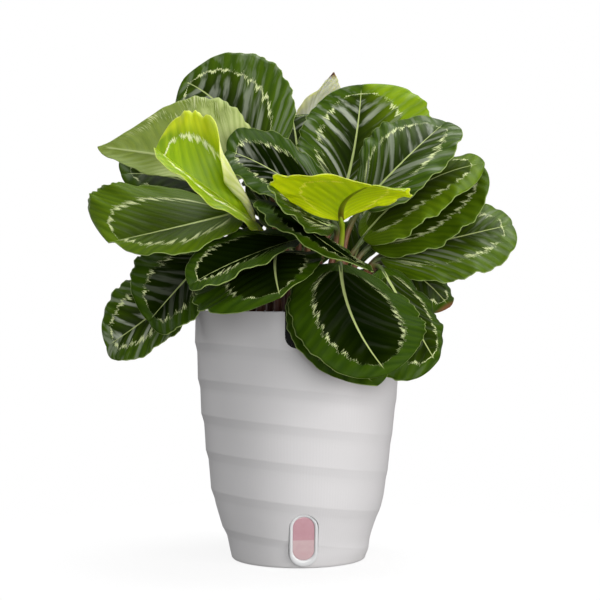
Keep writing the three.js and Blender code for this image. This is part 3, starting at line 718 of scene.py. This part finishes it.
def blade_fields(leaf, v, T, S, span):
    """What the materials read at each point, apart from the veins and the ring."""
    a = np.abs(v)[None, :]
    zero = 0 * T * a
    right_half = np.clip(v * 2.2, 0, 1)[None, :]
    lime, painted_sheen = leaf["lime"] + zero, leaf["painted_sheen"] + zero
    if leaf["two_tone"]:
        lime, painted_sheen = lime * right_half, painted_sheen * (1 - 0.7 * right_half)
    # On a young leaf the lime field carries painted light: its right margin, which rolls away from the lamps,
    # is painted lighter.
    if leaf["young"]:
        lime = np.clip(v * 4 - 2.2, 0, 1)[None, :] + zero
    rolled = np.clip((a - 0.5) / 0.25, 0, 1) * np.clip((T - 0.3) / 0.1, 0, 1) * np.clip((0.9 - T) / 0.1, 0, 1)
    return {
        "rib": a * span,
        "edge": (1 - a) * span + 4 * (S < 0.02),
        "along": T + zero,
        "lime": lime,
        "painted_sheen": painted_sheen,
        "pale": leaf["pale"] + zero,
        "peek": leaf["peek"] * rolled * (v <= 0)[None, :],
    }


def petiole(leaf, rib, steps, sides):
    """Centre line, radii, rings and place along a stalk."""
    point, along, normal, _ = rib.frame(np.array([0.0, PETIOLE_UNDER]))
    ground = leaf["foot"] + np.array([0, 0, PETIOLE_DEPTH - PETIOLE_SINK])
    start = leaf["foot"] + np.array([0, 0, PETIOLE_DEPTH + PETIOLE_RISE])
    reach = float(np.linalg.norm(start - point[0]))
    end = point[0] - normal[0] * PETIOLE_NECK * 0.6
    c0, c1 = start, start + np.array([0, 0, reach * 0.45])
    c2, c3 = end - along[0] * reach * 0.35, end
    t = np.linspace(0, 1, steps)[:, None]
    curve = (1 - t) ** 3 * c0 + 3 * t * (1 - t) ** 2 * c1 + 3 * t ** 2 * (1 - t) * c2 + t ** 3 * c3
    last = point[1] - normal[1] * PETIOLE_NECK * 0.6
    centre = np.vstack([ground[None], curve, last[None]])
    radii = np.concatenate([[PETIOLE_FOOT * 1.05], np.linspace(PETIOLE_FOOT, PETIOLE_NECK, steps), [0.7]])
    place = np.linspace(0, 1, steps + 2)
    knuckle = np.exp(-((place - KNUCKLE_PLACE) / KNUCKLE_LENGTH) ** 2)
    radii = radii * (1 + KNUCKLE_SWELL * knuckle)
    rings, side = [], np.array([1.0, 0, 0])
    for i, p in enumerate(centre):
        ahead = centre[min(i + 1, len(centre) - 1)] - centre[max(i - 1, 0)]
        ahead = ahead / np.linalg.norm(ahead)
        side = unit(side - ahead * (side @ ahead))
        other = np.cross(ahead, side)
        turn = np.linspace(0, 2 * np.pi, sides, endpoint=False)
        rings.append(p + radii[i] * (np.cos(turn)[:, None] * side + np.sin(turn)[:, None] * other))
    return centre, rings, place


def blade_skin(tops, unders):
    """A blade's points, faces and material slots. The grid's first and last row are one point each."""
    rows, cols = tops.shape[0] - 1, tops.shape[1] - 1
    kept = [(i, j) for i in range(rows + 1) for j in range(cols + 1) if i not in (0, rows) or j == 0]
    index = np.zeros((rows + 1, cols + 1), int)
    for k, place in enumerate(kept):
        index[place] = k
    index[0], index[rows] = index[0, 0], index[rows, 0]
    verts = [side[place] for side in (tops, unders) for place in kept]
    count = len(kept)
    faces, slots = [], []

    def face(ids, slot):
        ids = [int(k) for m, k in enumerate(ids) if k != ids[m - 1]]
        if len(ids) > 2:
            faces.append(ids)
            slots.append(slot)

    for i in range(rows):
        for j in range(cols):
            a, b, c, d = index[i, j], index[i, j + 1], index[i + 1, j + 1], index[i + 1, j]
            face([a, b, c, d], 0)
            face([a + count, d + count, c + count, b + count], 1)
    rim = [index[i, cols] for i in range(rows + 1)] + [index[i, 0] for i in range(rows - 1, 0, -1)]
    for m, a in enumerate(rim):
        b = rim[(m + 1) % len(rim)]
        face([b, a, a + count, b + count], 0)
    return verts, faces, slots, kept


def make_leaf(leaf, number, materials, detail):
    rows, cols, steps, sides = detail
    rib = Rib(leaf)
    grid, n, over, under, fields = blade(leaf, rib, rows, cols)
    verts, faces, slots, kept = blade_skin(grid + n * over[..., None], grid - n * under[..., None])
    values = {k: [float(field[place]) for place in kept] * 2 for k, field in fields.items()}
    centre, rings, place = petiole(leaf, rib, steps, sides)
    first = len(verts)
    tube = [[centre[0]]] + [list(r) for r in rings] + [[centre[-1]]]
    more, more_faces = skin(tube)
    verts.extend(more)
    for ids in more_faces:
        faces.append([k + first for k in ids])
        slots.append(2)
    for r, ring in enumerate(tube):
        where = float(place[min(max(r - 1, 0), len(place) - 1)])
        for j in range(len(ring)):
            values["along"].append(where)
            values["vein"].append(math.sin(2 * math.pi * j / len(ring)) * 1.6)
    total = len(verts)
    for k in ("ring", "rib", "edge", "lime", "painted_sheen", "pale", "peek"):
        values[k] += [0.0] * (total - first)
    values["dark"] = [leaf["dark"]] * total
    values["seed"] = [leaf["seed"] * SEED_STEP] * total
    values["brown"] = [float(leaf["tipbrown"])] * total
    obj = new_object(f"plant_leaf_{number:02d}", verts, faces, materials, slots)
    for k, data in values.items():
        obj.data.attributes.new(k, "FLOAT", "POINT").data.foreach_set("value", data)
    return obj


def make_leaves():
    stalk = stalk_material("stalk", (0.10, 0.030, 0.016), (0.20, 0.075, 0.030), (0.075, 0.11, 0.025))
    young_stalk = stalk_material("young_stalk", (0.16, 0.10, 0.02), (0.22, 0.26, 0.02), (0.30, 0.42, 0.01))
    adult = [adult_upper(), adult_under(), stalk]
    rolled = [rolled_leaf(), rolled_leaf(), stalk]
    young = [young_upper(), young_under(), young_stalk]
    for i, leaf in enumerate(all_leaves()):
        node = f"leaf_{i + 1:02d}"
        look = young if leaf["young"] else rolled if leaf["rolled"] else adult
        obj = make_leaf(leaf, i + 1, look, FRONT_DETAIL if i < len(FRONT) else BACK_DETAIL)
        finish_piece(obj, node)


# ---- pot

def pot_material():
    """Matt plastic, faintly ribbed from top to bottom."""
    n = Nodes("pot_white")
    cloud = n.noise(scale=22.0, detail=4.0)
    grain = n.noise(scale=900.0, detail=2.0)
    split = n.tree.nodes.new("ShaderNodeSeparateXYZ")
    n.link(n.position(), split.inputs[0])
    turn = n.math("ARCTAN2", split.outputs[1], split.outputs[0])
    ribs = n.mul(n.math("SINE", n.mul(turn, 190.0)), n.smooth(cloud, 0.35, 0.65))
    color = n.mix(cloud, (0.575, 0.57, 0.575), (0.625, 0.615, 0.62))
    color = n.mix(n.mul(n.add(ribs, 1.0), 0.02), color, (0.40, 0.40, 0.41))
    color = n.mix(n.mul(n.below(n.height(), 0.012, 0.014), 0.25), color, (0.50, 0.49, 0.48))
    rough = n.add(0.46, n.mul(cloud, 0.12))
    n.bump(n.add(n.mul(grain, 0.5), n.mul(ribs, 0.3)), 0.00006, 0.5)
    return n.set(color=color, rough=rough, specular=0.3)


def liner_material():
    n = Nodes("liner_black")
    grain = n.noise(scale=420.0, detail=3.0)
    speck = n.noise(scale=650.0, detail=1.0)
    color = n.mix(grain, (0.002, 0.002, 0.002), (0.008, 0.008, 0.008))
    color = n.mix(n.smooth(speck, 0.72, 0.78), color, (0.22, 0.21, 0.20))
    n.bump(grain, 0.0002, 0.7)
    return n.set(color=color, rough=n.add(0.45, n.mul(grain, 0.3)), specular=0.15)


def frame_material():
    n = Nodes("window_white")
    cloud = n.noise(scale=120.0, detail=3.0)
    color = n.mix(cloud, (0.62, 0.63, 0.64), (0.70, 0.71, 0.71))
    n.bump(n.noise(scale=1500.0), 0.00003, 0.4)
    return n.set(color=color, rough=n.add(0.16, n.mul(cloud, 0.1)), specular=0.5, coat=0.3, coat_rough=0.1)


def pane_material():
    """A clear pink pane. Below the water line it looks paler."""
    n = Nodes("pane_pink")
    cloud = n.noise(scale=160.0, detail=3.0)
    over = n.mix(cloud, (0.46, 0.24, 0.27), (0.55, 0.33, 0.37))
    under = n.mix(cloud, (0.50, 0.33, 0.35), (0.62, 0.48, 0.48))
    height = n.add(n.height(), n.mul(n.sub(cloud, 0.5), 0.0012))
    color = n.mix(n.below(height, WATER_LINE * MM, 0.0010), over, under)
    low = n.mul(n.below(height, 0.0150, 0.0050), n.smooth(cloud, 0.3, 0.6))
    color = n.mix(n.mul(low, 0.6), color, (0.52, 0.30, 0.32))
    streak = n.noise(n.vector(n.mul(n.height(), 8.0), 0.0, 0.0), scale=20.0)
    return n.set(color=color, rough=n.add(0.12, n.mul(streak, 0.1)), specular=0.5, coat=0.4, coat_rough=0.06)


def soil_material():
    n = Nodes("soil_dark")
    coarse = n.noise(scale=160.0, detail=5.0, rough=0.65)
    fine = n.noise(scale=900.0, detail=3.0)
    color = n.mix(coarse, (0.008, 0.005, 0.004), (0.06, 0.034, 0.022))
    color = n.mix(n.smooth(fine, 0.62, 0.75), color, (0.12, 0.075, 0.045))
    n.bump(n.add(coarse, n.mul(fine, 0.4)), 0.0015, 0.8)
    return n.set(color=color, rough=n.add(0.8, n.mul(fine, 0.15)), specular=0.25)


def band_flare(azimuth, z):
    """How far the banded wall stands out of its plain profile: a ridge that falls away below."""
    a = math.radians(azimuth)
    tilt = BAND_TILT * math.cos(a - math.radians(BAND_HIGH))
    size = BAND_STEP * (0.62 + 0.38 * math.cos(a - math.radians(BAND_STRONG)))
    flare = 0.0
    for edge, following in zip(BAND_EDGES, BAND_EDGES[1:] + [BAND_END]):
        rise = z - edge - tilt
        reach = following - edge - BAND_FALL
        if -BAND_FALL < rise <= -LIP_BELOW:
            flare = max(flare, LIP_SHARE * ((rise + BAND_FALL) / (BAND_FALL - LIP_BELOW)) ** 1.2)
        elif -LIP_BELOW < rise <= LIP_ABOVE:
            step = (rise + LIP_BELOW) / (LIP_BELOW + LIP_ABOVE)
            flare = max(flare, LIP_SHARE + (1 - LIP_SHARE) * step * (2 - step))
        elif LIP_ABOVE < rise < reach:
            flare = max(flare, (1 - (rise - LIP_ABOVE) / (reach - LIP_ABOVE)) ** 1.1)
    return size * flare


def make_pot():
    sides = 200
    angles = np.linspace(0, 360, sides, endpoint=False)

    def ring(height):
        """A ring of the banded wall, tilted as the bands are."""
        points = []
        for az in angles:
            tilt = BAND_TILT * math.cos(math.radians(az - BAND_HIGH))
            z = max(height + tilt, 2.4 + 0.1 * (height - BAND_EDGES[0] + 8))
            r = pot_radius(z) + band_flare(az, z)
            points.append((r * math.cos(math.radians(az)), r * math.sin(math.radians(az)), z))
        return points

    rings = [[(0, 0, 0.0)], circle(30, 0, sides), circle(48.2, 0, sides), circle(49.3, 0.25, sides),
             circle(50.0, 1.0, sides), circle(50.4, 2.4, sides)]
    for edge in BAND_EDGES:
        for offset in (-7, -5.5, -4, -2.7, -1.6, -0.9, -0.55, -0.25, 0.05, 0.3, 0.6, 1.2, 2.5, 5, 8, 12, 16):
            rings.append(ring(edge + offset))
    for r, z in ((77.36, 183.4), (77.28, 183.95), (76.95, 184.3), (76.5, POT_HEIGHT), (75.9, POT_HEIGHT),
                 (75.5, 184.2), (75.3, 183.7)):
        rings.append(circle(r, z, sides))
    for z in (170, 132, 93, 64, LEDGE_TOP):
        rings.append(circle(inner_radius(z), z, sides))
    rings += [circle(LEDGE_RADIUS, LEDGE_TOP, sides), circle(LEDGE_RADIUS, LEDGE_UNDER, sides)]
    for z in (36, 16.5, POT_FLOOR):
        rings.append(circle(inner_radius(z), z, sides))
    rings.append([(0, 0, POT_FLOOR)])
    verts, faces = skin(rings)
    obj = new_object("white_pot", verts, faces, [pot_material()])
    w, depth, r = NOTCH_HALF_WIDTH, NOTCH_DEPTH, NOTCH_CORNER
    left = arc(r - w, r - depth, r, math.pi, 1.5 * math.pi, 14)
    right = arc(w - r, r - depth, r, 1.5 * math.pi, 2 * math.pi, 14)
    a = math.radians(NOTCH_AZIMUTH)
    inside = np.array([60 * math.cos(a), 60 * math.sin(a), POT_HEIGHT])
    notch = prism([(w, 10), (-w, 10)] + left + right, inside, radial_basis(NOTCH_AZIMUTH, 0), 30)
    basis, face = window_place()
    wide, high = WINDOW_OUTER
    window = prism(stadium(wide + 2 * GAP, high + 2 * GAP), face - basis[2] * 10, basis, 20)
    cut(obj, notch, window)
    shade_smooth(obj, 38)
    finish_piece(obj, "outer_pot")


def window_place():
    """The window's axes and the middle of its face."""
    a = math.radians(WINDOW_AZIMUTH)
    r = plain_radius(WINDOW_HEIGHT)
    face = np.array([r * math.cos(a), r * math.sin(a), WINDOW_HEIGHT])
    return radial_basis(WINDOW_AZIMUTH, WINDOW_TILT), face


def stadium_rings(outer, inner, profile):
    """Rings in the wall, from (step from the outer to the inner outline, outward) pairs."""
    (across, up, out), face = window_place()
    rings = []
    for step, outward in profile:
        outline = [(x0 + (x1 - x0) * step, z0 + (z1 - z0) * step) for (x0, z0), (x1, z1) in zip(outer, inner)]
        rings.append([tuple(face + across * x + up * z + out * outward) for x, z in outline])
    return rings


def make_window():
    wide, high = PANE
    inner = stadium(wide + 0.5, high + 0.5, PANE_LIFT)
    rings = stadium_rings(stadium(*WINDOW_OUTER), inner, FRAME_PROFILE)
    verts, faces = skin(rings + [rings[0]])
    mesh_verts = verts[:-len(rings[0])]
    last = len(mesh_verts)
    faces = [[k if k < last else k - last for k in f] for f in faces]
    obj = new_object("window_rim", mesh_verts, faces, [frame_material()], sharp=50)
    finish_piece(obj, "window_frame")
    edge, middle = stadium(wide + 0.35, high + 0.35, PANE_LIFT), stadium(wide - 12, high - 12, PANE_LIFT)
    rings = stadium_rings(edge, middle, PANE_PROFILE)
    ends = [[tuple(np.mean(ring, axis=0))] for ring in (rings[0], rings[-1])]
    verts, faces = skin([ends[0]] + rings + [ends[1]])
    obj = new_object("window_glass", verts, faces, [pane_material()], sharp=50)
    finish_piece(obj, "window_pane")


def box_cutter(size, radius, z, azimuth):
    """A cutter: a box that faces outward at a radius and a height."""
    a = math.radians(azimuth)
    x, y = np.array([math.cos(a), math.sin(a), 0]), np.array([-math.sin(a), math.cos(a), 0])
    up = np.array([0, 0, 1.0])
    centre = x * radius + up * z
    corners = []
    for sz in (-1, 1):
        corners.append([tuple(centre + x * sx * size[0] / 2 + y * sy * size[1] / 2 + up * sz * size[2] / 2)
                        for sx, sy in ((-1, -1), (1, -1), (1, 1), (-1, 1))])
    verts = corners[0] + corners[1]
    faces = [[3, 2, 1, 0], [4, 5, 6, 7]] + [[i, (i + 1) % 4, 4 + (i + 1) % 4, 4 + i] for i in range(4)]
    return new_object("cutter", verts, faces, [])


def liner_wall(z):
    return inner_radius(z) - GAP


def make_liner():
    rim, wall, floor, foot, bottom = LINER_RIM, LINER_WALL, LINER_FLOOR, LINER_FOOT, LINER_BOTTOM
    c = liner_wall
    top = [(c(rim) - 0.1, rim - 0.5), (c(rim) - 0.4, rim - 0.1), (c(rim) - wall / 2, rim),
           (c(rim) - wall + 0.3, rim - 0.1), (c(rim) - wall, rim - 0.6)]
    points = [(foot, bottom), (foot, floor), (c(floor) - 2, floor), (c(64) - 2, 64), (c(132) - 1, 132)] + top
    points += [(c(132) - 1 - wall, 132), (c(64) - 2 - wall, 64), (c(floor) - 2 - wall, floor + wall),
               (foot - wall, floor + wall), (foot - wall, bottom + wall)]
    rings = [[(0, 0, bottom)]] + [circle(r, z, 160) for r, z in points] + [[(0, 0, bottom + wall)]]
    verts, faces = skin(rings)
    obj = new_object("black_liner", verts, faces, [liner_material()])
    cutters = []
    for k in range(6):
        turn = 60 * k + 15
        cutters.append(box_cutter((3, 6, 24), foot - 0.5, 24, turn))
        cutters.append(box_cutter((8, 3, 6), 34, floor, turn + 30))
    cut(obj, *cutters)
    shade_smooth(obj, 40)
    finish_piece(obj, "liner_pot")


def make_soil():
    sides = 180
    wall = 2 * GAP + LINER_WALL
    rim = inner_radius(SOIL_EDGE - 1) - wall - 0.8
    foot, sole = LINER_FOOT - LINER_WALL - GAP, LINER_BOTTOM + LINER_WALL + GAP
    floor = LINER_FLOOR + LINER_WALL + GAP
    points = [(foot, sole), (foot, floor), (inner_radius(floor) - wall - 2.4, floor),
              (inner_radius(132) - wall - 1.2, 132), (rim, SOIL_EDGE - 3)]
    rings = [[(0, 0, sole)]] + [circle(r, z, sides) for r, z in points]
    for r in np.arange(rim - 0.6, 2, -1.5):
        ring = []
        for x, y, _ in circle(r, 0, sides):
            z = soil_height(r, math.atan2(y, x))
            crumbs = noise.fractal(Vector((x, y, 0)) * CRUMB_SCALE, 0.9, 2.1, 4)
            grit = noise.noise(Vector((x, y, 3)) * GRIT_SCALE)
            ring.append((x, y, z - 0.5 + CRUMB_HEIGHT * crumbs + GRIT_HEIGHT * grit))
        rings.append(ring)
    rings.append([(0, 0, SOIL_CROWN)])
    verts, faces = skin(rings)
    obj = new_object("potting_soil", verts, faces, [soil_material()])
    finish_piece(obj, "soil")


# ---- stage

def make_stage():
    """A white sheet that fades into the white backdrop."""
    n = Nodes("stage_white")
    spread = n.tree.nodes.new("ShaderNodeVectorMath")
    spread.operation = "LENGTH"
    n.link(n.position(), spread.inputs[0])
    cloud = n.noise(scale=3.0)
    color = n.mix(cloud, (0.90, 0.90, 0.90), (0.92, 0.92, 0.92))
    near = n.sub(1.0, n.smooth(spread.outputs["Value"], 0.06, 0.34))
    n.set(color=color, rough=0.9, specular=0.0, alpha=n.mul(near, 0.22))
    n.shader.inputs["Emission Color"].default_value = (1, 1, 1, 1)
    n.shader.inputs["Emission Strength"].default_value = 0.25
    s, z = STAGE_HALF, -STAGE_DROP
    corners = [(-s, -s, z), (s, -s, z), (s, s, z), (-s, s, z)]
    floor = new_object("floor", corners, [[0, 1, 2, 3]], [n.material])


def area_light(name, place, target, size, power, color=(1, 1, 1)):
    light = bpy.data.lights.new(name, "AREA")
    light.shape = "RECTANGLE"
    light.size, light.size_y = size
    light.energy = power
    light.color = color
    obj = bpy.data.objects.new(name, light)
    obj.location = place
    obj.rotation_euler = (Vector(target) - Vector(place)).to_track_quat("-Z", "Y").to_euler()
    bpy.context.scene.collection.objects.link(obj)


def make_lights():
    area_light("top_soft", (0.25, 0.1, 1.4), (0, 0, 0.25), (0.9, 0.8), 13)
    area_light("right_soft", (1.1, -0.9, 0.32), (0, 0, 0.18), (0.7, 1.0), 12.8, (1.0, 0.975, 0.965))
    area_light("front_soft", (0.1, -1.6, 0.35), (0, 0, 0.2), (1.0, 0.9), 14)
    area_light("left_rim", (-1.3, 0.5, 0.6), (0, 0, 0.25), (0.4, 1.0), 5.5)
    world = bpy.data.worlds.new("studio")
    world.use_nodes = True
    tree = world.node_tree
    back = tree.nodes["Background"]
    path = tree.nodes.new("ShaderNodeLightPath")
    place = tree.nodes.new("ShaderNodeTexCoord")
    split = tree.nodes.new("ShaderNodeSeparateXYZ")
    tree.links.new(place.outputs["Generated"], split.inputs[0])
    sky = tree.nodes.new("ShaderNodeMapRange")
    for name, value in (("From Min", -0.3), ("From Max", 0.7), ("To Min", 0.08), ("To Max", 0.40)):
        sky.inputs[name].default_value = value
    tree.links.new(split.outputs[2], sky.inputs["Value"])
    strength = tree.nodes.new("ShaderNodeMapRange")
    tree.links.new(sky.outputs[0], strength.inputs["To Min"])
    strength.inputs["To Max"].default_value = 1.0
    tree.links.new(path.outputs["Is Camera Ray"], strength.inputs["Value"])
    tree.links.new(strength.outputs[0], back.inputs["Strength"])
    back.inputs["Color"].default_value = (1, 1, 1, 1)
    bpy.context.scene.world = world


def make_camera():
    camera = bpy.data.cameras.new("camera")
    camera.sensor_width = SENSOR
    camera.lens = SENSOR * CAMERA_DISTANCE / VIEW_WIDTH
    camera.clip_start, camera.clip_end = 0.01, 100
    obj = bpy.data.objects.new("camera", camera)
    obj.location = (CAMERA_RIGHT * MM, -CAMERA_DISTANCE * MM, CAMERA_HEIGHT * MM)
    obj.rotation_euler = (math.radians(90), 0, 0)
    bpy.context.scene.collection.objects.link(obj)
    bpy.context.scene.camera = obj


make_camera()
make_lights()
make_stage()
make_pot()
make_window()
make_liner()
make_soil()
make_leaves()
bpy.context.scene.view_settings.view_transform = "Standard"
